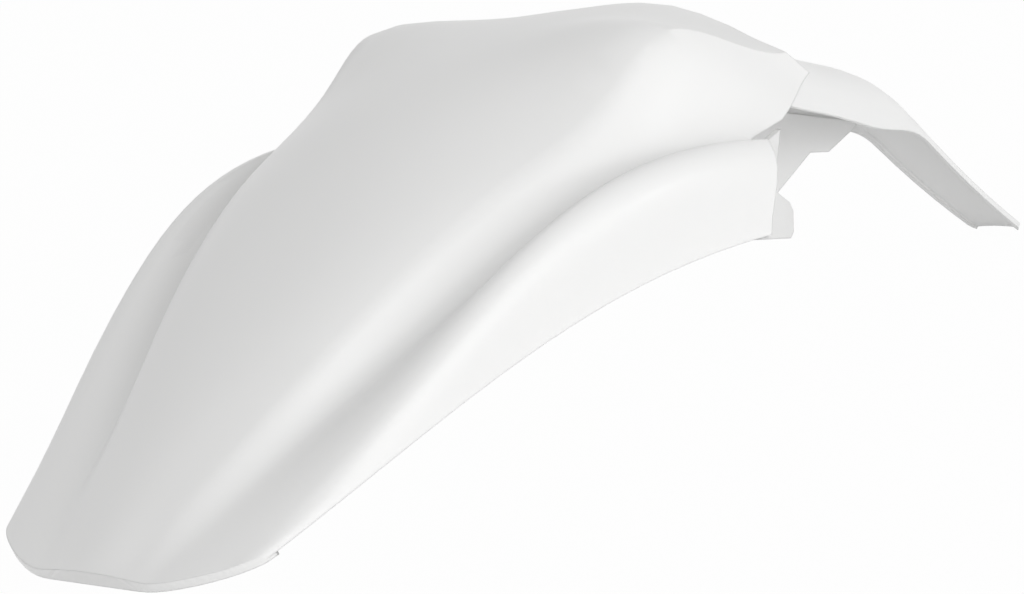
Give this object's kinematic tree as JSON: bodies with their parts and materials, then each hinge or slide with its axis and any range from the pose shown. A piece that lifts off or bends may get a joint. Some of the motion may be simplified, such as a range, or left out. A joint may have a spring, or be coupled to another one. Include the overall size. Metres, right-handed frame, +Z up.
{
  "type": "motorcycle rear fender",
  "caption": "Moulded plastic rear fender for an off-road motorcycle: arched crown with flared wings, ridged front panels, a narrowing hood with two bolt holes, and a strap down its front end.",
  "frame": {"origin": "centre between the two mounting holes, in the plane of the lower faces of their bosses under the hood", "axes": "+X forward along the motorcycle, +Y to the rider's left, +Z up, as the fender sits on the motorcycle"},
  "size_m": [0.701, 0.286, 0.3462],
  "materials": {
    "shell": "smooth white moulded plastic, satin to gloss"
  },
  "bodies": {
    "root": {"rear_fender": "shell"}
  },
  "joints": []
}
